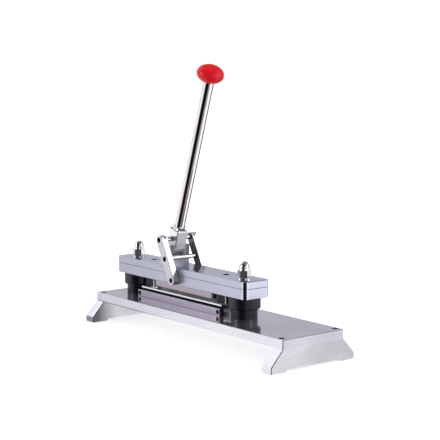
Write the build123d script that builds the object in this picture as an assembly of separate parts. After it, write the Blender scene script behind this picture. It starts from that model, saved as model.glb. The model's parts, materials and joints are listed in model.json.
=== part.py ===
from build123d import *
import os
import math

# Lever press with two columns. Millimetres, +Z up, +X along the base plate.
# The origin is the centre of the footprint on the resting plane.
# Heights below are given from the top face of the base plate and lifted by BASE_TOP at export.

# ---------------------------------------------------------------- driving dimensions
BASE_L, BASE_W, BASE_T = 400.0, 100.0, 12.0
FOOT_H, FOOT_TX = 27.5, 18.0            # foot height under the plate, thickness along X
FOOT_REACH = 68.0                       # half span of a foot across Y
FOOT_TOE_H, FOOT_PAD_L, FOOT_ARCH = 8.0, 24.0, 2.6
BASE_TOP = FOOT_H + BASE_T
FOOT_SCREW_X, FOOT_SCREW_Y = 191.0, 44.0

XC = -48.3                              # centre of the press beam along the base
POST_GAP = 234.0                        # distance between the column axes
POST_R, POST_STUD_R = 9.0, 5.0
BEAM_L, BEAM_D, BEAM_CORNER = 285.5, 42.0, 6.0
Z_LOW0, Z_LOW1 = 28.0, 41.7             # moving lower beam plate
Z_UP0, Z_UP1 = 42.0, 51.0               # fixed upper beam plate

COLLAR_R, COLLAR_Z0, COLLAR_WEB, COLLAR_IN = 21.0, 12.5, 3.0, 17.6
SLEEVE_R, SLEEVE_H, SLEEVE_IN, SLEEVE_WEB = 17.2, 15.0, 14.0, 3.0
BUSH_R = 11.0
SPRING_R, SPRING_WIRE, SPRING_TURNS = 11.9, 1.1, 4.5   # mean radius, wire radius, turns

DIE_L, DIE_D = 127.0, 22.0              # upper press bar
DIE_Z0 = 17.0
LOW_L = 178.0                           # lower die block
ANVIL_Z, ANVIL_HALF, FLOOR_Z = 7.0, 66.5, 4.0   # pressing face, its half length, channel floor beyond it
GUIDE_X0, GUIDE_X1, GUIDE_Y, GUIDE_Z0 = 69.2, 89.9, 8.4, 14.0   # guide blocks, from the beam centre
GUIDE_SCREW_X = 79.5
RAIL_L, RAIL_Y0, RAIL_Y1, RAIL_Z0, RAIL_Z1 = 178.0, 11.7, 15.5, 11.4, 14.0
BAR_L, BAR_Y0, BAR_Y1, BAR_Z1 = 182.0, -20.5, -16.5, 9.3
BAR_SCREW_X, BAR_SCREW_Z = 87.0, 4.7
STOP_SCREW_X = 80.0                     # from the beam centre, each way

BLOCK_X0, BLOCK_X1, BLOCK_Z1 = -85.4, -75.4, 77.0
BLOCK_SLOT, SLOT_Z = 9.3, 57.0

LEAN = math.radians(18.2)               # lever lean at rest
TX, TZ = -74.9, 86.8                    # fulcrum shaft at rest
ARM = 19.5                              # pivot pin to fulcrum shaft
PX, PZ = TX - ARM * math.sin(LEAN), TZ - ARM * math.cos(LEAN)
BX_, BZ_ = XC, 35.0                     # link pivot in the lower beam plate
SHAFT_R = 3.0
PIVOT_R, PIVOT_THREAD_R, PIVOT_HEAD_R, PIVOT_SEAT_R = 2.4, 2.0, 3.2, 3.5   # shoulder screws at the link feet
LINK_R, LINK_Y0, LINK_Y1 = 6.5, 21.5, 31.0
LINK_LEN = math.hypot(TX - BX_, TZ - BZ_)
LINK_LEAN = math.atan2(BX_ - TX, TZ - BZ_)
TIE_AT = 0.528                          # tie shaft position along the link
HEAD_W, HEAD_D, HEAD_UP = 20.0, 18.0, 13.6
ROD_R, ROD_END = 7.25, 224.5            # rod radius, rod end above the fulcrum shaft
NUT_T = 4.5
KNOB_R, KNOB_H, KNOB_FLAT = 18.2, 23.2, 9.0

os.makedirs("parts", exist_ok=True)
X_POSTS = {"left": XC - POST_GAP / 2, "right": XC + POST_GAP / 2}


# ---------------------------------------------------------------- helpers
def bx(x0, x1, y0, y1, z0, z1):
    return Pos((x0 + x1) / 2, (y0 + y1) / 2, (z0 + z1) / 2) * Box(x1 - x0, y1 - y0, z1 - z0)


def cz(x, y, z0, z1, r):
    return Pos(x, y, (z0 + z1) / 2) * Cylinder(r, z1 - z0)


def cy(x, z, y0, y1, r):
    return Pos(x, (y0 + y1) / 2, z) * Rot(90, 0, 0) * Cylinder(r, abs(y1 - y0))


def hex_z(x, y, z0, z1, flats, turn=0.0):
    return Pos(x, y, z0) * Rot(0, 0, turn) * extrude(RegularPolygon(flats / 2, 6, major_radius=False), z1 - z0)


def cap_screw(head_r, head_h, shank_r, shank_l, socket, depth):
    # head sits from z = 0 up to head_h, shank hangs below
    head = chamfer((Pos(0, 0, head_h / 2) * Cylinder(head_r, head_h)).edges().group_by(Axis.Z)[-1], min(0.4, head_h * 0.2))
    s = head + cz(0, 0, -shank_l, 0, shank_r)
    return s - hex_z(0, 0, head_h - depth, head_h + 1, socket)


def export(name, shape):
    s = Pos(0, 0, BASE_TOP) * shape
    solids = s.solids()
    out = solids[0] if len(solids) == 1 else Compound(children=list(solids))
    out.label = name
    export_step(out, "parts/" + name + ".step")


def pick_group(solids):
    return Compound(children=list(solids))


# ---------------------------------------------------------------- base plate
plate = bx(-BASE_L / 2, BASE_L / 2, -BASE_W / 2, BASE_W / 2, -BASE_T, 0)
plate = chamfer(plate.edges().filter_by(Axis.Z), 0.9)
plate = chamfer(plate.faces().sort_by(Axis.Z)[-1].edges(), 0.6)
for sx in (-1, 1):
    for sy in (-1, 1):
        plate -= cz(sx * FOOT_SCREW_X, sy * FOOT_SCREW_Y, -5.2, 1, 4.3)
        plate -= cz(sx * FOOT_SCREW_X, sy * FOOT_SCREW_Y, -BASE_T - 1, 0, 2.6)
for x in X_POSTS.values():
    plate -= cz(x, 0, -BASE_T - 1, 1, 4.1)
    plate -= cz(x, 0, -BASE_T - 1, -BASE_T + 8.2, 7.0)
DIE_SCREW_X = (-58.0, 0.0, 58.0)
for dx in DIE_SCREW_X:
    plate -= cz(XC + dx, 0, -BASE_T - 1, 1, 2.6)
    plate -= cz(XC + dx, 0, -BASE_T - 1, -BASE_T + 5.4, 4.6)
export("base_plate", plate)

# ---------------------------------------------------------------- cross feet
zt, zb = -BASE_T, -BASE_T - FOOT_H
half = [(0, zt), (BASE_W / 2, zt), (FOOT_REACH - 0.6, zb + FOOT_TOE_H + 0.7), (FOOT_REACH, zb + FOOT_TOE_H),
        (FOOT_REACH, zb), (FOOT_REACH - FOOT_PAD_L, zb), (FOOT_REACH - FOOT_PAD_L, zb + FOOT_ARCH), (0, zb + FOOT_ARCH)]
outline = half[1:] + [(-y, z) for y, z in reversed(half[1:-1])]
for side, x0 in (("left", -BASE_L / 2), ("right", BASE_L / 2 - FOOT_TX)):
    prof = Plane.YZ * make_face(Polyline(*outline, close=True))
    foot = Pos(x0, 0, 0) * extrude(prof, FOOT_TX)
    foot = chamfer(foot.edges().filter_by(GeomType.LINE).filter_by(lambda e: abs(e.tangent_at(0).X) < 0.5 and e.center().Z > zb + FOOT_TOE_H - 0.1 and abs(e.center().Y) > 50.2), 0.4)
    for sy in (-1, 1):
        foot -= cz((x0 + FOOT_TX / 2), sy * FOOT_SCREW_Y, zt - 15, zt + 1, 2.5)
    export(side + "_foot", foot)
FX = BASE_L / 2 - FOOT_TX / 2
screws = [Pos(sx * FX, sy * FOOT_SCREW_Y, -5.2) * cap_screw(3.9, 4.6, 2.5, 18.0, 4.0, 2.6) for sx in (-1, 1) for sy in (-1, 1)]
export("foot_screws", pick_group(screws))

# ---------------------------------------------------------------- columns
for side, x in X_POSTS.items():
    post = cz(x, 0, 0, Z_UP0, POST_R) + cz(x, 0, Z_UP0, 65.0, POST_STUD_R)
    post = chamfer(post.edges().filter_by(GeomType.CIRCLE).sort_by(Axis.Z)[-1], 0.8)
    post -= cz(x, 0, -1, 20, 4.0)
    export(side + "_post", post)

    sleeve = cz(x, 0, 0, SLEEVE_H, SLEEVE_R) - cz(x, 0, SLEEVE_WEB, SLEEVE_H + 1, SLEEVE_IN) - cz(x, 0, -1, SLEEVE_WEB + 1, POST_R)
    sleeve = chamfer(sleeve.edges().filter_by(GeomType.CIRCLE).group_by(Axis.Z)[-1], 0.5)
    export(side + "_guide_sleeve", sleeve)

    collar = cz(x, 0, COLLAR_Z0, Z_LOW0, COLLAR_R) - cz(x, 0, COLLAR_Z0 - 1, Z_LOW0 - COLLAR_WEB, COLLAR_IN) - cz(x, 0, 0, Z_LOW0 + 1, POST_R + 0.5)
    low_edges = collar.edges().filter_by(GeomType.CIRCLE).group_by(Axis.Z)[0]
    collar = chamfer(low_edges.sort_by(SortBy.RADIUS)[-1], 1.2)
    export(side + "_guide_collar", collar)

    bush = cz(x, 0, Z_LOW0, Z_LOW1, BUSH_R) - cz(x, 0, Z_LOW0 - 1, Z_LOW1 + 1, POST_R + 0.05)
    export(side + "_guide_bush", bush)

    z0, z1 = SLEEVE_WEB + SPRING_WIRE, Z_LOW0 - COLLAR_WEB - SPRING_WIRE
    path = Pos(x, 0, z0) * Helix((z1 - z0) / SPRING_TURNS, z1 - z0, SPRING_R)
    sec = Plane(origin=path @ 0, z_dir=path % 0) * Circle(SPRING_WIRE)
    spring = sweep(sec, path=path, is_frenet=True)
    export(side + "_return_spring", spring)

    # domed nut on a flat washer
    z = Z_UP1
    washer = cz(x, 0, z, z + 1.6, 10.5) - cz(x, 0, z - 1, z + 3, 5.25)
    washer = chamfer(washer.edges().filter_by(GeomType.CIRCLE).group_by(Axis.Z)[-1].sort_by(SortBy.RADIUS)[-1], 0.3)
    export(side + "_washer", washer)
    zn = z + 1.6
    hx = hex_z(x, 0, zn, zn + 9.0, 16.0, 43.0)
    cone_r = 9.4
    hx = hx & (Pos(x, 0, zn + 4.5) * Cylinder(cone_r, 9.0))
    top = [(0, 0), (7.6, 0), (7.5, 1.2), (7.2, 4.2), (6.4, 7.2), (4.9, 9.6), (3.0, 10.9), (0, 11.5)]
    crv = Spline((7.45, 1.0), (7.0, 4.6), (5.6, 8.2), (3.3, 10.7), (0, 11.5), tangents=((0, 1), (-1, 0)))
    ln = Line((0, 0), (7.45, 0)) + Line((7.45, 0), (7.45, 1.0)) + crv + Line((0, 11.5), (0, 0))
    dome = revolve(Plane.XZ * make_face(ln), Axis.Z)
    nut = hx + Pos(x, 0, zn + 9.0) * dome
    nut -= cz(x, 0, zn - 1, zn + 13.0, POST_STUD_R)
    export(side + "_cap_nut", nut)

export("post_screws", pick_group([Pos(x, 0, -BASE_T + 8.2) * Rot(180, 0, 0) * cap_screw(6.4, 8.0, 4.0, 19.0, 6.0, 4.0) for x in X_POSTS.values()]))

# ---------------------------------------------------------------- beam plates


def beam(z0, z1):
    b = bx(XC - BEAM_L / 2, XC + BEAM_L / 2, -BEAM_D / 2, BEAM_D / 2, z0, z1)
    b = fillet(b.edges().filter_by(Axis.Z), BEAM_CORNER)
    return b


low = beam(Z_LOW0, Z_LOW1)
low = chamfer(low.faces().sort_by(Axis.Z)[-1].edges(), 0.5)
low = chamfer(low.faces().sort_by(Axis.Z)[0].edges(), 0.5)
UP_DIE_SCREW_X = (-48.0, 20.0, 48.0)
for x in X_POSTS.values():
    low -= cz(x, 0, Z_LOW0 - 1, Z_LOW1 + 1, BUSH_R)
for dx in UP_DIE_SCREW_X + (-GUIDE_SCREW_X, GUIDE_SCREW_X):
    low -= cz(XC + dx, 0, Z_LOW0 - 1, Z_LOW1 + 1, 2.6)
    low -= cz(XC + dx, 0, Z_LOW1 - 5.6, Z_LOW1 + 1, 4.6)
for sy in (-1, 1):
    low -= cy(BX_, BZ_, sy * 12.0, sy * 22.0, PIVOT_THREAD_R)
export("beam_lower_plate", low)

up = beam(Z_UP0, Z_UP1)
up = chamfer(up.faces().sort_by(Axis.Z)[-1].edges(), 0.8)
for x in X_POSTS.values():
    up -= cz(x, 0, Z_UP0 - 1, Z_UP1 + 1, POST_STUD_R + 0.1)
for sx in (-1, 1):
    up -= cz(XC + sx * STOP_SCREW_X, 0, Z_UP0 - 1, Z_UP1 + 1, 4.0)
    c = Pos(XC + sx * STOP_SCREW_X, 0, Z_UP1 - 0.6) * Cone(4.0, 5.2, 1.2)
    up -= c
BLOCK_XM = (BLOCK_X0 + BLOCK_X1) / 2
for sy in (-1, 1):
    up -= cz(BLOCK_XM, sy * 15.0, Z_UP0 - 1, Z_UP1 + 1, 2.6)
    up -= cz(BLOCK_XM, sy * 15.0, Z_UP0 - 1, Z_UP0 + 5.2, 4.6)
export("beam_upper_plate", up)

export("stop_screws", pick_group([cz(XC + sx * STOP_SCREW_X, 0, Z_UP0, Z_UP1 - 2.2, 4.0) - hex_z(XC + sx * STOP_SCREW_X, 0, Z_UP1 - 6.0, Z_UP1, 4.0) for sx in (-1, 1)]))

# ---------------------------------------------------------------- lever block with its slot
blk = bx(BLOCK_X0, BLOCK_X1, -21.0, 21.0, Z_UP1, BLOCK_Z1)
blk = chamfer(blk.edges().group_by(Axis.Z)[-1], 0.6)
blk -= bx(BLOCK_X0 - 1, BLOCK_X1 + 1, -BLOCK_SLOT, BLOCK_SLOT, SLOT_Z, BLOCK_Z1 + 1)
blk -= cy(PX, PZ, -22, 22, SHAFT_R)
for sy in (-1, 1):
    blk -= cz(BLOCK_XM, sy * 15.0, Z_UP1 - 1, Z_UP1 + 10.0, 2.5)
export("lever_block", blk)
export("lever_block_screws", pick_group([Pos(BLOCK_XM, sy * 15.0, Z_UP0 + 5.2) * Rot(180, 0, 0) * cap_screw(4.2, 4.9, 2.5, 13.0, 4.0, 2.5) for sy in (-1, 1)]))
export("lever_pivot_pin", chamfer(cy(PX, PZ, -20.6, 20.6, SHAFT_R).edges().filter_by(GeomType.CIRCLE), 0.4))

# ---------------------------------------------------------------- lower die
x0, x1 = XC - LOW_L / 2, XC + LOW_L / 2
die = bx(x0, x1, -16.5, 16.5, 0, 8.0)
for sy in (-1, 1):
    die += bx(x0, x1, min(sy * 11.7, sy * 13.8), max(sy * 11.7, sy * 13.8), 7.5, RAIL_Z0)
die -= bx(x0 - 1, x1 + 1, -11.7, 11.7, ANVIL_Z, 12)
for sx in (-1, 1):
    a, b = sorted((XC + sx * ANVIL_HALF, XC + sx * (LOW_L / 2 + 1)))
    die -= bx(a, b, -11.7, 11.7, FLOOR_Z, 12)
for dx in DIE_SCREW_X:
    die -= cz(XC + dx, 0, -1, 5.6, 2.5)
for sx in (-1, 1):
    die -= cy(XC + sx * BAR_SCREW_X, BAR_SCREW_Z, -17, -12.3, 1.8)
for sy in (-1, 1):
    for dx in (-82.0, 0.0, 82.0):
        die -= cz(XC + dx, sy * 12.75, 4.4, RAIL_Z0 + 1, 0.75)
export("lower_die_block", die)
export("lower_die_screws", pick_group([Pos(XC + dx, 0, -BASE_T + 5.4) * Rot(180, 0, 0) * cap_screw(4.3, 5.0, 2.5, 11.6, 4.0, 2.5) for dx in DIE_SCREW_X]))
for nm, s in (("front_die_rail", -1), ("rear_die_rail", 1)):
    r = bx(XC - RAIL_L / 2, XC + RAIL_L / 2, min(s * RAIL_Y0, s * RAIL_Y1), max(s * RAIL_Y0, s * RAIL_Y1), RAIL_Z0, RAIL_Z1)
    r = chamfer(r.edges().filter_by(Axis.X), 0.35)
    for dx in (-82.0, 0.0, 82.0):
        r -= cz(XC + dx, s * 12.75, RAIL_Z0 - 1, RAIL_Z1 + 1, 0.75)
    export(nm, r)
export("rail_dowels", pick_group([cz(XC + dx, sy * 12.75, 4.6, RAIL_Z1 - 0.2, 0.75) for dx in (-82.0, 0.0, 82.0) for sy in (-1, 1)]))
bar = bx(XC - BAR_L / 2, XC + BAR_L / 2, BAR_Y0, BAR_Y1, 0, BAR_Z1)
bar = chamfer(bar.faces().sort_by(Axis.Y)[0].edges(), 0.4)
for sx in (-1, 1):
    bar -= cy(XC + sx * BAR_SCREW_X, BAR_SCREW_Z, BAR_Y0 - 1, BAR_Y1 + 1, 1.8)
    bar -= cy(XC + sx * BAR_SCREW_X, BAR_SCREW_Z, BAR_Y0 - 1, BAR_Y0 + 2.9, 3.1)
export("front_die_bar", bar)
export("die_bar_screws", pick_group([Pos(XC + sx * BAR_SCREW_X, BAR_Y0 + 2.9, BAR_SCREW_Z) * Rot(90, 0, 0) * cap_screw(2.85, 2.3, 1.8, 5.1, 2.5, 1.4) for sx in (-1, 1)]))

# ---------------------------------------------------------------- upper press bar
pb = bx(XC - DIE_L / 2, XC + DIE_L / 2, -DIE_D / 2, DIE_D / 2, DIE_Z0, Z_LOW0)
pb = fillet(pb.edges().filter_by(Axis.Z), 2.0)
pb = chamfer(pb.faces().sort_by(Axis.Z)[0].edges(), 0.6)
for dx in UP_DIE_SCREW_X:
    pb -= cz(XC + dx, 0, DIE_Z0 + 1.5, Z_LOW0 + 1, 2.5)
export("upper_press_bar", pb)
export("press_bar_screws", pick_group([Pos(XC + dx, 0, Z_LOW1 - 5.6) * cap_screw(4.2, 5.0, 2.5, 16.0, 4.0, 2.5) for dx in UP_DIE_SCREW_X]))

# ---------------------------------------------------------------- guide blocks at both ends of the bar, run in the channel
for side, s in (("left", -1), ("right", 1)):
    a, b = sorted((XC + s * GUIDE_X0, XC + s * GUIDE_X1))
    g = bx(a, b, -GUIDE_Y, GUIDE_Y, GUIDE_Z0, Z_LOW0)
    g = fillet(g.edges().filter_by(Axis.Z), 2.2)
    g = chamfer(g.faces().sort_by(Axis.Z)[0].edges(), 0.5)
    g -= cz(XC + s * GUIDE_SCREW_X, 0, 18.5, Z_LOW0 + 1, 2.5)
    export(side + "_guide_block", g)
export("guide_block_screws", pick_group([Pos(XC + s * GUIDE_SCREW_X, 0, Z_LOW1 - 5.6) * cap_screw(4.2, 5.0, 2.5, 16.0, 4.0, 2.5) for s in (-1, 1)]))

# ---------------------------------------------------------------- links, tie shaft, fulcrum shaft
ux, uz = -math.sin(LINK_LEAN), math.cos(LINK_LEAN)
MX, MZ = BX_ + TIE_AT * LINK_LEN * ux, BZ_ + TIE_AT * LINK_LEN * uz
link_turn = -math.degrees(LINK_LEAN)
edge_nx, edge_nz = math.cos(LINK_LEAN), math.sin(LINK_LEAN)      # outward normal of the +X edge face
set_screws = []
for nm, s in (("front_link", -1), ("rear_link", 1)):
    ya, yb = sorted((s * LINK_Y0, s * LINK_Y1))
    body = bx(-LINK_R, LINK_R, ya, yb, 0, LINK_LEN) + cy(0, 0, ya, yb, LINK_R) + cy(0, LINK_LEN, ya, yb, LINK_R)
    body = chamfer(body.edges().filter_by(lambda e: abs(abs(e.center().Y) - LINK_Y1) < 1e-3 or abs(abs(e.center().Y) - LINK_Y0) < 1e-3), 0.4)
    body -= cy(0, 0, ya - 1, yb + 1, PIVOT_R + 0.05)
    yo = s * LINK_Y1
    a, b = sorted((yo + s * 1.0, yo - s * 4.3))
    body -= cy(0, 0, a, b, PIVOT_SEAT_R)
    for d in (TIE_AT * LINK_LEN, LINK_LEN):
        body -= cy(0, d, ya - 1, yb + 1, SHAFT_R)
        a, b = sorted((yo + s * 1.0, yo - s * 4.2))
        body -= cy(0, d, a, b, 3.5)
    # tapped hole for the set screw in the +X edge, level with the fulcrum shaft
    yc = s * (LINK_Y0 + 3.0)
    hole = Pos(5.2, yc, LINK_LEN) * Rot(0, 90, 0) * Cylinder(1.5, 6.0)
    body -= hole
    body = Pos(BX_, 0, BZ_) * Rot(0, link_turn, 0) * body
    export(nm, body)
    sc = Pos(4.2, yc, LINK_LEN) * Rot(0, 90, 0) * Cylinder(1.5, 2.4) - Pos(5.6, yc, LINK_LEN) * Rot(0, 90, 0) * extrude(RegularPolygon(0.75, 6, major_radius=False), 1.0, both=True)
    set_screws.append(Pos(BX_, 0, BZ_) * Rot(0, link_turn, 0) * sc)
export("link_set_screws", pick_group(set_screws))
yi = LINK_Y1 - 4.4
export("fulcrum_shaft", chamfer(cy(TX, TZ, -yi, yi, SHAFT_R).edges().filter_by(GeomType.CIRCLE), 0.4))
export("tie_shaft", chamfer(cy(MX, MZ, -yi, yi, SHAFT_R).edges().filter_by(GeomType.CIRCLE), 0.4))
piv = []
for s in (-1, 1):
    # shoulder screw: thread in the plate, shoulder through the link eye, head in the counterbore
    sc = cap_screw(PIVOT_HEAD_R, 3.2, PIVOT_R, LINK_Y1 - 4.3 - 21.0, 3.0, 1.8) + cz(0, 0, -(LINK_Y1 - 4.3 - 21.0) - 8.5, -(LINK_Y1 - 4.3 - 21.0), PIVOT_THREAD_R)
    piv.append(Pos(BX_, s * (LINK_Y1 - 4.2), BZ_) * Rot(90 if s < 0 else -90, 0, 0) * sc)
export("link_pivot_screws", pick_group(piv))

# ---------------------------------------------------------------- lever, in its own line from the pivot pin
place = Pos(PX, 0, PZ) * Rot(0, math.degrees(LEAN), 0)
h1 = ARM + HEAD_UP
head = bx(-HEAD_W / 2, HEAD_W / 2, -HEAD_D / 2, HEAD_D / 2, 0, h1)
head = chamfer(head.edges().filter_by(Axis.Z), 0.7)
head = chamfer(head.faces().sort_by(Axis.Z)[-1].edges(), 0.8)
foot_end = cy(0, 0, -HEAD_D / 2, HEAD_D / 2, HEAD_W / 2)
foot_end = chamfer(foot_end.edges().filter_by(GeomType.CIRCLE), 0.7)
head = head + foot_end
head -= cy(0, 0, -HEAD_D, HEAD_D, SHAFT_R + 0.05)
head -= cy(0, ARM, -HEAD_D, HEAD_D, SHAFT_R + 0.8)
head -= cz(0, 0, h1 - 8.0, h1 + 1, 5.0)
export("lever_head", place * head)

nutz = h1
jam = hex_z(0, 0, nutz, nutz + NUT_T, 16.0, 15.0) & (Pos(0, 0, nutz + NUT_T / 2) * Cylinder(8.9, NUT_T))
jam -= cz(0, 0, nutz - 1, nutz + NUT_T + 1, 5.0)
export("rod_lock_nut", place * jam)

rod_z0, rod_z1 = h1 + NUT_T, ARM + ROD_END
rod = cz(0, 0, rod_z0, rod_z1, ROD_R)
rod = chamfer(rod.edges().filter_by(GeomType.CIRCLE).sort_by(Axis.Z)[0], 1.0)
rod += cz(0, 0, h1 - 7.8, rod_z0, 5.0) + cz(0, 0, rod_z1, rod_z1 + 13.0, 4.0)
export("lever_rod", place * rod)

# oval knob: an oblate ball with a small flat underside round the rod
kb = rod_z1
t0 = math.degrees(math.acos(KNOB_FLAT / KNOB_R))
drop = KNOB_H / (1 + math.sin(math.radians(t0)))        # half height of the oval
mid = drop * math.sin(math.radians(t0))
pts = [(KNOB_R * math.cos(math.radians(a)), mid + drop * math.sin(math.radians(a))) for a in [-t0 + (90 + t0) * k / 8 for k in range(9)]]
arc = Spline(*pts, tangents=((math.sin(math.radians(t0)) * KNOB_R, math.cos(math.radians(t0)) * drop), (-1, 0)))
oval = Line((0, 0), (KNOB_FLAT, 0)) + arc + Line((0, KNOB_H), (0, 0))
knob = revolve(Plane.XZ * make_face(oval), Axis.Z)
knob = Pos(0, 0, kb) * knob - cz(0, 0, kb - 1, kb + 14.0, 4.0)
export("lever_knob", place * knob)
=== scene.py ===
import json
import math

import bmesh
import bpy
from mathutils import Matrix, Vector


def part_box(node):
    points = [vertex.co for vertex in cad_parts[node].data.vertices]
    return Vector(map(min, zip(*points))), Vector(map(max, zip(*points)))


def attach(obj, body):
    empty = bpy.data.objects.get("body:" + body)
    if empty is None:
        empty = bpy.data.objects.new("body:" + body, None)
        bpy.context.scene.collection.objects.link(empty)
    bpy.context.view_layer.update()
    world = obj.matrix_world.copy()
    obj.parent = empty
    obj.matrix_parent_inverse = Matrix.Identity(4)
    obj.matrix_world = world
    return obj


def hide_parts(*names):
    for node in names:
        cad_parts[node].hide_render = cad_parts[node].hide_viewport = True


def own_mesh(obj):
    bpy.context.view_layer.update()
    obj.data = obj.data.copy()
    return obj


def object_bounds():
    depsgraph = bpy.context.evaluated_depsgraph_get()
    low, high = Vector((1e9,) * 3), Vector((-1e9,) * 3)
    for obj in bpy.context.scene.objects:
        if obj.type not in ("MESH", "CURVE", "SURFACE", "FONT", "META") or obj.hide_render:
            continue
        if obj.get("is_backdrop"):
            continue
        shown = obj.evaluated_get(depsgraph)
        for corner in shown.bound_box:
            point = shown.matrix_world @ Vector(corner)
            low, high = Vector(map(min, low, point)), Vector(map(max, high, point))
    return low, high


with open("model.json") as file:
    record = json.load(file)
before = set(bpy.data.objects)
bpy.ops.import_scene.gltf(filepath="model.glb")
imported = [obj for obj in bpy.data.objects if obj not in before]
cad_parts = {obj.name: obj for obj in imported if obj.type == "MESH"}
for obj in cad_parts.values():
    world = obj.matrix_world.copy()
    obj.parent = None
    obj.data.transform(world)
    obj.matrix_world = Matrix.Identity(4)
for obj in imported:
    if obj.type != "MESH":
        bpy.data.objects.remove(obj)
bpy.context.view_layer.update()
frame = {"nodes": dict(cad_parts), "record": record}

scene = bpy.context.scene
nodes = frame["nodes"]

# ------------------------------------------------------------------ camera
AZ, EL = math.radians(51.30), math.radians(7.40)
back = Vector((math.sin(AZ) * math.cos(EL), -math.cos(AZ) * math.cos(EL), math.sin(EL)))
cam_data = bpy.data.cameras.new("photo_camera")
cam = bpy.data.objects.new("photo_camera", cam_data)
scene.collection.objects.link(cam)
cam.location = (1.3194, -1.0423, 0.3772)
cam.rotation_mode = "QUATERNION"
cam.rotation_quaternion = (-back).to_track_quat("-Z", "Y")
cam_data.sensor_width = 36.0
cam_data.sensor_fit = "HORIZONTAL"
cam_data.lens = 105.38
cam_data.clip_start, cam_data.clip_end = 0.02, 60.0
scene.camera = cam
scene.view_settings.view_transform = "Standard"
scene.view_settings.look = "None"

TOWARDS = Vector((math.sin(AZ), -math.cos(AZ), 0.0))      # from the object to the camera, on the floor
RIGHT = Vector((math.cos(AZ), math.sin(AZ), 0.0))


# ------------------------------------------------------------------ node helpers
class Tree:
    """Small helper that adds and links shader nodes."""

    def __init__(self, tree):
        self.t = tree
        self.t.nodes.clear()
        self.shared = {}

    def add(self, kind, **props):
        n = self.t.nodes.new(kind)
        for k, v in props.items():
            setattr(n, k, v)
        return n

    def link(self, a, b):
        self.t.links.new(a, b)

    def put(self, socket, value):
        if isinstance(value, bpy.types.NodeSocket):
            self.t.links.new(value, socket)
        else:
            socket.default_value = value

    def math(self, op, a, b=0.0, c=0.0, clamp=False):
        n = self.add("ShaderNodeMath", operation=op, use_clamp=clamp)
        self.put(n.inputs[0], a)
        self.put(n.inputs[1], b)
        self.put(n.inputs[2], c)
        return n.outputs[0]

    def remap(self, v, a, b, c, d, smooth=False):
        n = self.add("ShaderNodeMapRange", clamp=True)
        if smooth:
            n.interpolation_type = "SMOOTHSTEP"
        self.put(n.inputs["Value"], v)
        for k, x in zip(("From Min", "From Max", "To Min", "To Max"), (a, b, c, d)):
            self.put(n.inputs[k], x)
        return n.outputs["Result"]

    def mix(self, f, a, b):
        n = self.add("ShaderNodeMix", data_type="FLOAT")
        self.put(n.inputs[0], f)
        self.put(n.inputs[2], a)
        self.put(n.inputs[3], b)
        return n.outputs[0]

    def mixc(self, f, a, b, mode="MIX"):
        n = self.add("ShaderNodeMix", data_type="RGBA", blend_type=mode)
        self.put(n.inputs[0], f)
        self.put(n.inputs[6], a)
        self.put(n.inputs[7], b)
        return n.outputs[2]

    def coords(self, scale=(1, 1, 1), turn=(0, 0, 0), shift=(0, 0, 0), source="Object"):
        tc = self.add("ShaderNodeTexCoord")
        m = self.add("ShaderNodeMapping")
        self.link(tc.outputs[source], m.inputs["Vector"])
        m.inputs["Scale"].default_value = scale
        m.inputs["Rotation"].default_value = turn
        m.inputs["Location"].default_value = shift
        return m.outputs["Vector"]

    def noise(self, vec, scale=1.0, detail=2.0, rough=0.5, distort=0.0):
        n = self.add("ShaderNodeTexNoise")
        self.put(n.inputs["Vector"], vec)
        n.inputs["Scale"].default_value = scale
        n.inputs["Detail"].default_value = detail
        n.inputs["Roughness"].default_value = rough
        n.inputs["Distortion"].default_value = distort
        return n.outputs["Fac"]

    def parts(self, source):
        if source not in self.shared:
            tc = self.add("ShaderNodeTexCoord")
            s = self.add("ShaderNodeSeparateXYZ")
            self.link(tc.outputs[source], s.inputs[0])
            self.shared[source] = s
        return self.shared[source].outputs

    def normal_part(self, axis):
        return self.parts("Normal")[axis]

    def position(self, axis):
        return self.parts("Object")[axis]

    def combine(self, x, y, z):
        n = self.add("ShaderNodeCombineXYZ")
        for i, v in enumerate((x, y, z)):
            self.put(n.inputs[i], v)
        return n.outputs[0]


def rgb(r, g, b):
    return (r, g, b, 1.0)


def new_material(name):
    m = bpy.data.materials.new(name)
    m.use_nodes = True
    t = Tree(m.node_tree)
    out = t.add("ShaderNodeOutputMaterial")
    b = t.add("ShaderNodeBsdfPrincipled")
    t.link(b.outputs[0], out.inputs[0])
    return m, t, b


def edge_mask(t, radius, gain=6.0):
    """1 along the edges of the piece, 0 on its faces."""
    bev = t.add("ShaderNodeBevel", samples=4)
    bev.inputs["Radius"].default_value = radius
    geo = t.add("ShaderNodeNewGeometry")
    dot = t.add("ShaderNodeVectorMath", operation="DOT_PRODUCT")
    t.link(bev.outputs[0], dot.inputs[0])
    t.link(geo.outputs["Normal"], dot.inputs[1])
    return t.math("MULTIPLY", t.math("SUBTRACT", 1.0, dot.outputs["Value"]), gain, clamp=True)


def grain_vectors(t, axis, along, across):
    s = [across, across, across]
    s["xyz".index(axis)] = along
    return t.coords(scale=tuple(s))


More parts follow.
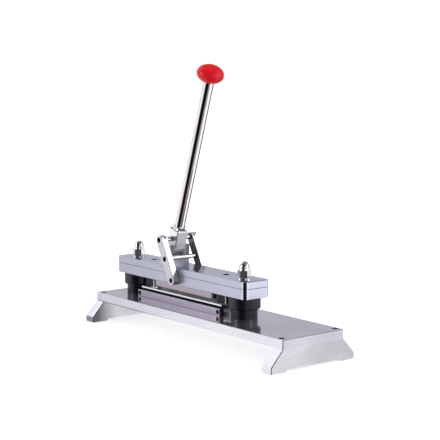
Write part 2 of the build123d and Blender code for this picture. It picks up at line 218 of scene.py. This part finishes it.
def brushed(name, colour, rough, axis="x", vary=0.10, bump=0.25, streak=0.10, edge_highlight=0.25, spots=0.04, tint=None, polish=None, shade=None, metal=None):
    """Brushed or ground metal: grain along one axis, slow streaks, faint smudges, a painted highlight along the edges
    of the piece.
    polish = (axis index, sign, roughness) makes faces that look along that axis smoother.
    metal = (upright faces, level faces) sets how much of the surface mirrors; the rest is matt haze."""
    m, t, b = new_material(name)
    if axis == "h":
        # the grain runs level on upright faces and lengthwise on top
        flat = t.remap(t.math("ABSOLUTE", t.normal_part(2)), 0.6, 0.8, 0.0, 1.0)
        vec = t.combine(t.math("MULTIPLY", t.position(0), 24.0), t.math("MULTIPLY", t.position(1), t.mix(flat, 24.0, 1300.0)),
                        t.math("MULTIPLY", t.position(2), t.mix(flat, 1300.0, 24.0)))
        lines = t.noise(vec, 1.0, 3.0, 0.62)
    else:
        fine = t.noise(grain_vectors(t, axis, 30.0, 1500.0), 1.0, 3.0, 0.6)
        mid = t.noise(grain_vectors(t, axis, 9.0, 320.0), 1.0, 2.0, 0.55)
        lines = t.mix(0.45, fine, mid)
    smudge = t.noise(t.coords(scale=(38, 38, 38), shift=(3.1, 1.7, 0.4)), 1.0, 4.0, 0.6, 0.6)
    dark = tuple(c * (1.0 - streak) for c in colour)
    light = tuple(min(1.0, c * (1.0 + streak * 0.75)) for c in colour)
    col = t.mixc(t.remap(lines, 0.32, 0.68, 0.0, 1.0), rgb(*dark), rgb(*light))
    if tint:
        slow = t.noise(t.coords(scale=(9, 9, 9)), 1.0, 3.0, 0.55)
        col = t.mixc(t.remap(slow, 0.4, 0.7, 0.0, 0.65), col, rgb(*tint))
    # painted highlight: a lighter colour along the edges of the piece
    if edge_highlight:
        col = t.mixc(t.math("MULTIPLY", edge_mask(t, 0.0011), edge_highlight), col, rgb(*(min(1.0, c * 1.25) for c in colour)))
    if shade:
        col = shade(t, col)
    t.link(col, b.inputs["Base Color"])
    r = t.mix(lines, rough - vary * rough * 1.6, rough + vary * rough * 1.6)
    r = t.math("ADD", r, t.remap(smudge, 0.45, 0.75, 0.0, spots))
    if polish:
        face = t.math("MULTIPLY", t.normal_part(polish[0]), float(polish[1]))
        mask = t.remap(face, 0.90, 0.985, 0.0, 1.0)
        pr = t.math("ADD", t.mix(lines, polish[2] * 0.8, polish[2] * 1.25), t.remap(smudge, 0.5, 0.8, 0.0, spots * 0.5))
        r = t.mix(mask, r, pr)
    t.link(r, b.inputs["Roughness"])
    b.inputs["Metallic"].default_value = 1.0
    if metal:
        level = t.remap(t.math("ABSOLUTE", t.normal_part(2)), 0.75, 0.95, 0.0, 1.0)
        t.link(t.mix(level, metal[0], metal[1]), b.inputs["Metallic"])
    bm = t.add("ShaderNodeBump")
    bm.inputs["Strength"].default_value = bump
    bm.inputs["Distance"].default_value = 0.00006
    t.link(lines, bm.inputs["Height"])
    if edge_highlight:
        bev = t.add("ShaderNodeBevel", samples=4)
        bev.inputs["Radius"].default_value = 0.00035
        t.link(bev.outputs[0], bm.inputs["Normal"])
    t.link(bm.outputs[0], b.inputs["Normal"])
    return m


def turned(name, colour, rough, metallic, pitch=1400.0, bump=0.2, vary=0.05, spec=0.5, coat=0.0, axis=2, shade=None, tint=None):
    """Turned surface: fine rings round the part, with small variations and a painted highlight along the edges."""
    m, t, b = new_material(name)
    rings = t.noise(t.coords(scale=tuple(pitch if i == axis else 14.0 for i in range(3))), 1.0, 2.0, 0.5)
    cloud = t.noise(t.coords(scale=(60, 60, 60)), 1.0, 3.0, 0.6)
    edges = edge_mask(t, 0.0009)
    col = t.mixc(cloud, rgb(*(c * 0.85 for c in colour)), rgb(*(min(1.0, c * 1.12) for c in colour)))
    # painted highlight: a lighter colour along the edges
    col = t.mixc(t.math("MULTIPLY", edges, 0.35), col, rgb(*(min(1.0, c * 1.3 + 0.05 * metallic) for c in colour)))
    if shade:
        col = shade(t, col)
    t.link(col, b.inputs["Base Color"])
    b.inputs["Metallic"].default_value = metallic
    b.inputs["Specular IOR Level"].default_value = spec
    if tint:
        b.inputs["Specular Tint"].default_value = rgb(*tint)
    r = t.math("ADD", rough, t.remap(rings, 0.3, 0.7, -vary, vary))
    r = t.math("ADD", r, t.remap(cloud, 0.45, 0.75, 0.0, vary))
    t.link(r, b.inputs["Roughness"])
    if coat:
        b.inputs["Coat Weight"].default_value = coat
        b.inputs["Coat Roughness"].default_value = 0.12
    bev = t.add("ShaderNodeBevel", samples=4)
    bev.inputs["Radius"].default_value = 0.0003
    bm = t.add("ShaderNodeBump")
    bm.inputs["Strength"].default_value = bump
    bm.inputs["Distance"].default_value = 0.00005
    t.link(rings, bm.inputs["Height"])
    t.link(bev.outputs[0], bm.inputs["Normal"])
    t.link(bm.outputs[0], b.inputs["Normal"])
    return m


def plastic(name, colour):
    m, t, b = new_material(name)
    cloud = t.noise(t.coords(scale=(40, 40, 40)), 1.0, 2.0, 0.5)
    wave = t.noise(t.coords(scale=(26, 26, 26)), 1.0, 0.0, 0.4)
    col = t.mixc(cloud, rgb(*(c * 0.92 for c in colour)), rgb(*(min(1.0, c * 1.06) for c in colour)))
    t.link(col, b.inputs["Base Color"])
    t.link(t.remap(wave, 0.3, 0.7, 0.32, 0.36), b.inputs["Roughness"])
    b.inputs["Specular IOR Level"].default_value = 0.72
    b.inputs["Specular Tint"].default_value = rgb(1.0, 0.42, 0.44)
    bm = t.add("ShaderNodeBump")
    bm.inputs["Strength"].default_value = 0.02
    bm.inputs["Distance"].default_value = 0.0004
    t.link(wave, bm.inputs["Height"])
    t.link(bm.outputs[0], b.inputs["Normal"])
    return m


def gain(t, col, mask, factor):
    """Multiply the colour by factor (a number or a socket) where mask is 1."""
    f = t.mix(mask, 1.0, factor)
    n = t.add("ShaderNodeVectorMath", operation="SCALE")
    t.link(col, n.inputs[0])
    t.link(f, n.inputs["Scale"])
    return n.outputs[0]


def facing(t, axis, sign, lo=0.80, hi=0.95):
    return t.remap(t.math("MULTIPLY", t.normal_part(axis), float(sign)), lo, hi, 0.0, 1.0)


def between(t, v, a, b, w=0.10):
    return t.math("MULTIPLY", t.remap(v, a, a + w, 0.0, 1.0), t.remap(v, b - w, b, 1.0, 0.0))


def rounded_edges_painted_highlight(t, col):
    """Dark flat sides, with a near-white painted highlight on the rounded upright edges."""
    nx = t.math("ABSOLUTE", t.normal_part(0))
    ny = t.math("ABSOLUTE", t.normal_part(1))
    lesser = t.math("MINIMUM", nx, ny)
    # painted highlight on the rounded upright edges
    return t.mixc(t.remap(lesser, 0.05, 0.25, 0.0, 1.0), col, rgb(0.92, 0.90, 0.84))


def die_channel_bright(t, col):
    """Ground metal on the pressing face and on the inner walls of the channel, dark outside."""
    y = t.math("ABSOLUTE", t.position(1))
    inner = t.remap(y, 0.01171, 0.01176, 1.0, 0.0)
    return t.mixc(inner, col, rgb(0.62, 0.58, 0.62))


def clouds(t, col, amount, scale=(7, 22, 22), shift=(0.3, 0.9, 0.1)):
    c = t.noise(t.coords(scale=scale, shift=shift), 1.0, 3.0, 0.55, 0.4)
    return gain(t, col, 1.0, t.remap(c, 0.3, 0.7, 1.0 - amount, 1.0 + amount * 0.6))


def base_painted_light(t, col):
    """Base plate: tone clouds; painted light that makes the upright sides brighter than the polished top (the front
    more so towards +X); a painted shadow stripe along the bottom of the front face, fading out towards +X.
    """
    x, z = t.position(0), t.position(2)
    col = clouds(t, col, 0.10)
    front = facing(t, 1, -1)
    # painted light: upright sides brighter, the front face more so towards +X
    col = gain(t, col, front, t.remap(x, -0.2, 0.06, 1.19, 1.49))
    col = gain(t, col, facing(t, 1, 1), 1.2)
    col = gain(t, col, facing(t, 0, 1), 1.08)
    col = gain(t, col, facing(t, 0, -1), 1.1)
    # painted shadow: a dark stripe along the bottom of the front face, fading out towards +X
    shade_line = t.math("MULTIPLY", front, t.remap(z, 0.0281, 0.0288, 1.0, 0.0))
    return gain(t, col, t.math("MULTIPLY", shade_line, t.remap(x, -0.10, -0.01, 0.9, 0.0)), 0.12)


def foot_painted_light(t, col):
    """Cross feet: milled faces with clouds, painted light and shade on the +X and front faces, and a painted shade
    stripe down the front arrises.
    """
    x, y, z = t.position(0), t.position(1), t.position(2)
    right = t.remap(x, -0.05, 0.05, 0.0, 1.0)
    col = clouds(t, col, 0.16, scale=(22, 14, 30))
    # painted light and shade: on the +X faces the left foot darkens towards its front, the right foot is brighter
    col = gain(t, col, facing(t, 0, 1), t.mix(right, t.remap(y, -0.060, -0.030, 0.22, 1.25), t.remap(y, -0.03, 0.05, 1.34, 1.20)))
    front = t.remap(t.normal_part(1), -0.35, -0.70, 0.0, 1.0)
    # painted light and shade: the left foot's front faces darker low down, the right foot's brighter
    col = gain(t, col, front, t.mix(right, t.remap(z, 0.007, 0.0085, 0.50, 1.5), 1.72))
    # distance to the planes that meet along the front arrises
    slope = t.math("SUBTRACT", 0.05544, t.math("ADD", t.math("MULTIPLY", y, -0.737), t.math("MULTIPLY", z, 0.676)))
    near = t.math("MINIMUM", t.math("ABSOLUTE", slope), t.math("ABSOLUTE", t.math("ADD", y, 0.068)))
    side = t.math("ABSOLUTE", t.math("SUBTRACT", x, t.mix(right, -0.182, 0.2)))
    # painted shade: a dark stripe along the front arrises
    shade_line = t.remap(t.math("MAXIMUM", near, side), 0.0006, 0.0009, 1.0, 0.0)
    return gain(t, col, shade_line, 0.05)


def beam_painted_light(t, col):
    """Beam plates: the end faces catch more light than the long sides; stop-screw holes in shadow."""
    x, y = t.position(0), t.position(1)
    col = clouds(t, col, 0.05, scale=(10, 10, 60))
    # painted light: the +X end faces brighter, the front faces brighter towards +X
    col = gain(t, col, facing(t, 0, 1), 1.56)
    col = gain(t, col, facing(t, 1, -1), t.remap(x, -0.19, 0.06, 1.09, 1.27))
    # painted reflection on the rounded upright corners: a dark core with a bright stripe on both sides
    lesser = t.math("MINIMUM", t.math("ABSOLUTE", t.normal_part(0)), t.math("ABSOLUTE", t.normal_part(1)))
    col = gain(t, col, between(t, lesser, 0.04, 0.36, 0.08), 1.7)
    col = gain(t, col, t.remap(lesser, 0.34, 0.44, 0.0, 1.0), 0.06)
    # painted shadow in the stop-screw holes
    dx = t.math("MINIMUM", t.math("ABSOLUTE", t.math("SUBTRACT", x, -0.1283)), t.math("ABSOLUTE", t.math("SUBTRACT", x, 0.0317)))
    d = t.math("SQRT", t.math("ADD", t.math("MULTIPLY", dx, dx), t.math("MULTIPLY", y, y)))
    return gain(t, col, t.remap(d, 0.0051, 0.0047, 0.0, 1.0), 0.05)


def bar_painted_light(t, col):
    # painted light: the front faces brighter towards +X
    return gain(t, col, facing(t, 1, -1), t.remap(t.position(0), -0.14, 0.045, 1.22, 1.55))


def shaft_ends(t, col):
    """The ends of the shafts lie in shadow inside their bores."""
    e = t.remap(t.math("ABSOLUTE", t.normal_part(1)), 0.85, 0.95, 0.0, 1.0)
    return gain(t, col, e, 0.03)


def link_painted_light(t, col):
    """Painted shade in the link bores and on the rear link's inner face; painted light on the upward-facing faces."""
    x, y, z = t.position(0), t.position(1), t.position(2)
    # painted shade: near-black discs in the bores
    for cx, cz, rad in ((-0.0749, 0.1263, 0.0036), (-0.06234, 0.10185, 0.0036), (-0.0483, 0.0745, 0.0036)):
        dx, dz = t.math("SUBTRACT", x, cx), t.math("SUBTRACT", z, cz)
        d = t.math("SQRT", t.math("ADD", t.math("MULTIPLY", dx, dx), t.math("MULTIPLY", dz, dz)))
        col = gain(t, col, t.remap(d, rad, rad - 0.00008, 0.0, 1.0), 0.03)
    # painted light: upward-facing faces brighter
    col = gain(t, col, t.remap(t.normal_part(2), 0.45, 0.7, 0.0, 1.0), 1.8)
    # painted shade: the rear link's inner face darker
    rear = t.math("MULTIPLY", t.remap(y, 0.0, 0.001, 0.0, 1.0), facing(t, 1, -1))
    return gain(t, col, rear, 0.30)


def head_painted_light(t, col):
    """Lever head: painted shade on the +X face; painted light on the upper part of the front face, as if it caught the
    window light.
    """
    col = gain(t, col, facing(t, 0, 1, 0.7, 0.9), 0.84)
    return gain(t, col, t.math("MULTIPLY", facing(t, 1, -1), t.remap(t.position(2), 0.1285, 0.1305, 0.0, 1.0)), 1.7)


def block_painted_light(t, col):
    # painted light: the +X face brighter
    return gain(t, col, facing(t, 0, 1), 1.10)


M = {
    "polished_steel": brushed("polished_steel", (0.66, 0.66, 0.71), 0.28, "h", polish=(2, 1, 0.08), bump=0.10, streak=0.05, spots=0.04, edge_highlight=0.0, shade=base_painted_light, metal=(0.70, 0.90)),
    "satin_aluminium": brushed("satin_aluminium", (0.56, 0.553, 0.58), 0.26, "h", bump=0.12, streak=0.06, edge_highlight=0.0, shade=foot_painted_light, metal=(0.70, 0.85)),
    "ground_steel": brushed("ground_steel", (0.52, 0.53, 0.625), 0.33, "h", bump=0.10, streak=0.05, edge_highlight=0.0, polish=(2, 1, 0.12), shade=beam_painted_light, metal=(0.72, 0.88)),
    "satin_steel": brushed("satin_steel", (0.62, 0.62, 0.67), 0.24, "z", bump=0.15, streak=0.06),
    "block_steel": brushed("block_steel", (0.62, 0.64, 0.68), 0.42, "h", bump=0.2, streak=0.08, edge_highlight=0.0, shade=block_painted_light, metal=(0.80, 0.80)),
    "head_steel": brushed("head_steel", (0.62, 0.62, 0.67), 0.24, "z", bump=0.15, streak=0.06, edge_highlight=0.0, shade=head_painted_light, metal=(0.85, 0.85)),
    "link_steel": brushed("link_steel", (0.68, 0.68, 0.71), 0.24, "z", bump=0.15, streak=0.06, edge_highlight=0.0, shade=link_painted_light, metal=(0.75, 0.75)),
    "tool_steel": brushed("tool_steel", (0.46, 0.41, 0.46), 0.28, "x", bump=0.2, streak=0.10, edge_highlight=0.9, tint=(0.43, 0.36, 0.42)),
    "bar_steel": brushed("bar_steel", (0.46, 0.42, 0.47), 0.28, "x", bump=0.2, streak=0.08, edge_highlight=1.0, tint=(0.43, 0.38, 0.45), shade=bar_painted_light),
    "bright_rail": brushed("bright_rail", (0.90, 0.90, 0.92), 0.14, "x", bump=0.1, streak=0.04),
    "dark_tool_steel": brushed("dark_tool_steel", (0.035, 0.035, 0.04), 0.32, "x", bump=0.25, streak=0.2, edge_highlight=0.4, shade=die_channel_bright),
    "guide_steel": brushed("guide_steel", (0.03, 0.03, 0.034), 0.22, "x", bump=0.2, streak=0.2, edge_highlight=0.1, shade=rounded_edges_painted_highlight),
    "ground_shaft": turned("ground_shaft", (0.80, 0.80, 0.82), 0.12, 1.0, axis=1, shade=shaft_ends),
    "chrome": turned("chrome", (0.88, 0.86, 0.865), 0.06, 1.0, bump=0.05, vary=0.02),
    "black_sleeve": turned("black_sleeve", (0.002, 0.002, 0.005), 0.33, 0.0, spec=0.66, vary=0.03, tint=(0.86, 0.85, 1.0)),
    "black_oxide": turned("black_oxide", (0.012, 0.012, 0.015), 0.55, 0.0, spec=0.2),
    "bronze": turned("bronze", (0.62, 0.42, 0.2), 0.3, 1.0),
    "spring_steel": turned("spring_steel", (0.32, 0.32, 0.35), 0.3, 1.0),
    "red_plastic": plastic("red_plastic", (0.93, 0.0005, 0.012)),
}

slot_of = {}
for part in frame["record"]["subparts"]:
    slot_of[part["node"]] = part["material_slot"]
for name, o in nodes.items():
    s = slot_of[name]
    if name.endswith("_guide_block"):
        s = "guide_steel"
    elif name in ("front_link", "rear_link"):
        s = "link_steel"
    elif name == "lever_head":
        s = "head_steel"
    elif name == "lever_block":
        s = "block_steel"
    elif name == "front_die_bar":
        s = "bar_steel"
    if not o.data.materials:
        o.data.materials.append(None)
    for ms in o.material_slots:
        ms.material = M[s]


# ------------------------------------------------------------------ return springs, with closed ends
def spring_mesh(name, x, z0, z1, mean, wire, turns, closed=1.0, steps=44, sides=12):
    bm = bmesh.new()
    total = turns + 2 * closed
    n = int(total * steps)
    rings = []
    pitch = 2 * wire * 1.02
    body = (z1 - z0) - 2 * wire - 2 * closed * pitch * 0.5
    for i in range(n + 1):
        u = i / n * total
        if u < closed:
            h = 0.5 * pitch * (u / closed) * closed
        elif u > total - closed:
            h = (z1 - z0) - 2 * wire - 0.5 * pitch * (total - u)
        else:
            h = 0.5 * pitch * closed + body * (u - closed) / turns
        a = 2 * math.pi * u
        c = Vector((x + mean * math.cos(a), mean * math.sin(a), z0 + wire + h))
        out = Vector((math.cos(a), math.sin(a), 0.0))
        ring = []
        for k in range(sides):
            b = 2 * math.pi * k / sides
            ring.append(bm.verts.new(c + wire * (math.cos(b) * out + math.sin(b) * Vector((0, 0, 1)))))
        rings.append(ring)
    for r0, r1 in zip(rings, rings[1:]):
        for k in range(sides):
            bm.faces.new((r0[k], r1[k], r1[(k + 1) % sides], r0[(k + 1) % sides]))
    bm.faces.new(rings[0])
    bm.faces.new(list(reversed(rings[-1])))
    bmesh.ops.recalc_face_normals(bm, faces=bm.faces)
    me = bpy.data.meshes.new(name)
    bm.to_mesh(me)
    bm.free()
    for p in me.polygons:
        p.use_smooth = True
    o = bpy.data.objects.new(name, me)
    scene.collection.objects.link(o)
    me.materials.append(M["spring_steel"])
    return o


for side in ("left", "right"):
    node = side + "_return_spring"
    lo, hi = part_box(node)
    x = (lo.x + hi.x) / 2
    mean = (hi.y - lo.y) / 2 - 0.0011
    o = spring_mesh(side + "_coil_spring", x, 0.0425, 0.0645, mean, 0.0011, 3.2)
    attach(o, "frame")
    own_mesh(o)
    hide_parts(node)

# ------------------------------------------------------------------ knob, turned finely so that the highlights stay smooth
def knob_mesh(name, centre, lean):
    """Oblate ball with a flat underside and a blind bore, in mm, leaning with the lever."""
    big, tall, flat_r, bore_r, bore_h, segs = 18.2, 23.2, 9.0, 4.0, 14.0, 128
    t0 = math.acos(flat_r / big)
    half = tall / (1 + math.sin(t0))
    mid = half * math.sin(t0)
    prof = [(0.0, bore_h), (bore_r, bore_h), (bore_r, 0.0), (flat_r - 0.5, 0.0), (flat_r - 0.12, 0.06)]
    steps = 44
    for i in range(1, steps):
        a = -t0 + (math.pi / 2 + t0) * i / steps
        prof.append((big * math.cos(a), mid + half * math.sin(a)))
    prof.append((0.0, tall))
    bm = bmesh.new()
    turn = Matrix.Translation(centre) @ Matrix.Rotation(lean, 4, "Y") @ Matrix.Scale(0.001, 4) @ Matrix.Translation(Vector((0, 0, -mid)))
    rings = []
    for r, h in prof:
        if r == 0.0:
            rings.append([bm.verts.new(turn @ Vector((0, 0, h)))])
        else:
            rings.append([bm.verts.new(turn @ Vector((r * math.cos(2 * math.pi * k / segs), r * math.sin(2 * math.pi * k / segs), h))) for k in range(segs)])
    for a, b in zip(rings, rings[1:]):
        for k in range(segs):
            n = (k + 1) % segs
            if len(a) == 1:
                bm.faces.new((a[0], b[k], b[n]))
            elif len(b) == 1:
                bm.faces.new((a[k], a[n], b[0]))
            else:
                bm.faces.new((a[k], a[n], b[n], b[k]))
    bmesh.ops.recalc_face_normals(bm, faces=bm.faces)
    me = bpy.data.meshes.new(name)
    bm.to_mesh(me)
    bm.free()
    for p in me.polygons:
        p.use_smooth = True
    me.set_sharp_from_angle(angle=math.radians(50))
    o = bpy.data.objects.new(name, me)
    scene.collection.objects.link(o)
    me.materials.append(M["red_plastic"])
    return o


k_lo, k_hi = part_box("lever_knob")
lean = math.radians(18.2)
top_reach = math.hypot(0.0182 * math.sin(lean), 0.0124130 * math.cos(lean))
knob = knob_mesh("oval_knob", Vector(((k_lo.x + k_hi.x) / 2, 0.0, k_hi.z - top_reach)), lean)
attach(knob, "lever")
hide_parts("lever_knob")

# ------------------------------------------------------------------ floor, world and lights
me = bpy.data.meshes.new("floor")
me.from_pydata([(-8, -8, 0), (8, -8, 0), (8, 8, 0), (-8, 8, 0)], [], [(0, 1, 2, 3)])
floor = bpy.data.objects.new("floor", me)
scene.collection.objects.link(floor)
floor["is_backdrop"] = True
fm = bpy.data.materials.new("floor")
fm.use_nodes = True
t = Tree(fm.node_tree)
out = t.add("ShaderNodeOutputMaterial")
dif = t.add("ShaderNodeBsdfDiffuse")
dif.inputs["Color"].default_value = rgb(0.80, 0.80, 0.80)
emi = t.add("ShaderNodeEmission")
tot = t.add("ShaderNodeAddShader")
t.link(dif.outputs[0], tot.inputs[0])
t.link(emi.outputs[0], tot.inputs[1])
clear = t.add("ShaderNodeBsdfTransparent")
lp = t.add("ShaderNodeLightPath")
mix = t.add("ShaderNodeMixShader")
t.link(lp.outputs["Is Glossy Ray"], mix.inputs[0])
t.link(tot.outputs[0], mix.inputs[1])
t.link(clear.outputs[0], mix.inputs[2])
t.link(mix.outputs[0], out.inputs[0])
geo = t.add("ShaderNodeNewGeometry")
ln = t.add("ShaderNodeVectorMath", operation="LENGTH")
t.link(geo.outputs["Position"], ln.inputs[0])
glow = t.remap(ln.outputs["Value"], 0.20, 0.7, 0.66, 1.0, smooth=True)
t.link(t.math("MULTIPLY", glow, lp.outputs["Is Camera Ray"]), emi.inputs["Strength"])
emi.inputs["Color"].default_value = rgb(1, 1, 1)
me.materials.append(fm)

world = bpy.data.worlds.new("studio")
scene.world = world
world.use_nodes = True
t = Tree(world.node_tree)
wout = t.add("ShaderNodeOutputWorld")
bg_cam = t.add("ShaderNodeBackground")
bg_cam.inputs["Color"].default_value = rgb(1, 1, 1)
bg_cam.inputs["Strength"].default_value = 1.05
bg = t.add("ShaderNodeBackground")
tc = t.add("ShaderNodeTexCoord")
sep = t.add("ShaderNodeSeparateXYZ")
t.link(tc.outputs["Generated"], sep.inputs[0])
z = sep.outputs[2]


def angle_from(mid):
    """Angle round the vertical, measured from a direction to the right of the camera's."""
    c0, s0 = math.cos(mid), math.sin(mid)
    fwd = t.math("ADD", t.math("MULTIPLY", sep.outputs[0], TOWARDS.x * c0 + RIGHT.x * s0), t.math("MULTIPLY", sep.outputs[1], TOWARDS.y * c0 + RIGHT.y * s0))
    sid = t.math("ADD", t.math("MULTIPLY", sep.outputs[0], RIGHT.x * c0 - TOWARDS.x * s0), t.math("MULTIPLY", sep.outputs[1], RIGHT.y * c0 - TOWARDS.y * s0))
    return t.math("ARCTAN2", sid, fwd)


def sector(mid, half, soft, inside):
    """1 outside a sector of the room, `inside` within it. Angles in degrees."""
    a = t.math("ABSOLUTE", angle_from(math.radians(mid)))
    return t.remap(a, math.radians(half - soft), math.radians(half + soft), inside, 1.0, smooth=True)


# bright at the horizon, a calmer room above, grey floor below
ramp = t.add("ShaderNodeValToRGB")
cr = ramp.color_ramp
cr.elements[0].position, cr.elements[0].color = 0.0, rgb(0.80, 0.80, 0.82)
cr.elements[1].position, cr.elements[1].color = 1.0, rgb(0.80, 0.80, 0.80)
for p, c in ((0.25, (0.98, 0.97, 0.98)), (0.36, (0.98, 0.98, 1.0)), (0.50, (0.93, 0.93, 0.96)), (0.535, (0.86, 0.86, 0.90)),
             (0.56, (0.66, 0.66, 0.74)), (0.66, (0.58, 0.58, 0.66)), (0.80, (0.62, 0.62, 0.66))):
    e = cr.elements.new(p)
    e.color = rgb(*c)
t.link(t.remap(z, -1.0, 1.0, 0.0, 1.0), ramp.inputs[0])
low = t.remap(z, -0.14, -0.24, 0.0, 1.0, smooth=True)             # 1 well below the horizon
deep = t.remap(z, -0.50, -0.58, 0.0, 1.0, smooth=True)
calm = sector(-25.0, 30.0, 4.0, 0.07)                             # the dark side of the room, left of the camera
warm = t.mix(low, 1.0, t.mix(deep, sector(-18.0, 46.0, 10.0, 0.10), sector(0.0, 50.0, 14.0, 0.45)))   # the bench in front, seen by the leaning rod
behind = t.mix(t.remap(z, -0.15, -0.20, 0.0, 1.0), 1.0, sector(128.0, 18.0, 5.0, 0.08))
right = t.remap(t.math("ABSOLUTE", angle_from(math.radians(78.0))), math.radians(14.0), math.radians(34.0), 1.18, 1.0, smooth=True)
brighter = t.math("MULTIPLY", t.remap(angle_from(math.radians(-104.0)), math.radians(-6.0), math.radians(8.0), 0.90, 1.12, smooth=True), right)
room = t.math("MULTIPLY", t.math("MULTIPLY", calm, warm), t.math("MULTIPLY", behind, brighter))
high = t.remap(z, 0.38, 0.55, 1.0, 0.34, smooth=True)              # the ceiling stays dim in reflections
patch = t.mix(t.remap(t.math("ABSOLUTE", t.math("SUBTRACT", z, 0.60)), 0.16, 0.28, 1.0, 0.0, smooth=True), 0.0, t.math("SUBTRACT", 1.0, sector(-128.0, 20.0, 8.0, 0.0)))
room = t.math("ADD", t.math("MULTIPLY", room, high), t.math("MULTIPLY", patch, 1.5))
lp = t.add("ShaderNodeLightPath")
soft = t.mix(lp.outputs["Is Glossy Ray"], 0.75, room)
tinted = t.mixc(t.math("MULTIPLY", low, t.remap(t.math("ABSOLUTE", angle_from(math.radians(-30.0))), 0.8, 1.2, 0.7, 0.0)), ramp.outputs[0], rgb(0.66, 0.52, 0.50))
sc = t.add("ShaderNodeVectorMath", operation="SCALE")
t.link(tinted, sc.inputs[0])
t.link(soft, sc.inputs["Scale"])
t.link(sc.outputs[0], bg.inputs["Color"])
mx = t.add("ShaderNodeMixShader")
t.link(lp.outputs["Is Camera Ray"], mx.inputs[0])
t.link(bg.outputs[0], mx.inputs[1])
t.link(bg_cam.outputs[0], mx.inputs[2])
t.link(mx.outputs[0], wout.inputs[0])


def softbox(name, where, target, w, h, radiance, colour=(1, 1, 1)):
    d = bpy.data.lights.new(name, "AREA")
    d.shape = "RECTANGLE"
    d.size, d.size_y = w, h
    d.energy = radiance * math.pi * w * h
    d.color = colour
    o = bpy.data.objects.new(name, d)
    scene.collection.objects.link(o)
    o.location = where
    o.rotation_mode = "QUATERNION"
    o.rotation_quaternion = (Vector(target) - Vector(where)).to_track_quat("-Z", "Y")
    o.visible_camera = False
    return o


def around(deg, dist, height):
    """A place at an angle to the right of the camera's direction, seen from the object."""
    a = math.radians(deg)
    return tuple((TOWARDS * math.cos(a) + RIGHT * math.sin(a)) * dist + Vector((0, 0, height)))


left = softbox("softbox_left", around(-80, 1.4, 0.62), (0, 0, 0.12), 0.26, 0.62, 8.0)
right_box = softbox("softbox_right", around(60, 1.5, 0.62), (0, 0, 0.12), 0.24, 0.60, 8.0)
edge_box = softbox("softbox_edge", around(88, 1.3, 1.0), (0, 0, 0.12), 0.5, 0.5, 2.6)
top = softbox("softbox_top", (0.0, 0.15, 1.9), (0, 0, 0.0), 0.7, 0.7, 2.3)
top.visible_glossy = False
# the side boxes skip the broad flat plates, which would mirror them as one white sheet
for lamp in (left, right_box, edge_box):
    skip = bpy.data.collections.new(lamp.name + "_skips")
    for name in ("base_plate", "beam_upper_plate", "beam_lower_plate"):
        skip.objects.link(nodes[name])
    for item in skip.collection_objects:
        item.light_linking.link_state = "EXCLUDE"
    lamp.light_linking.receiver_collection = skip

# ------------------------------------------------------------------ bounds of the shown pieces
lo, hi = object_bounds()
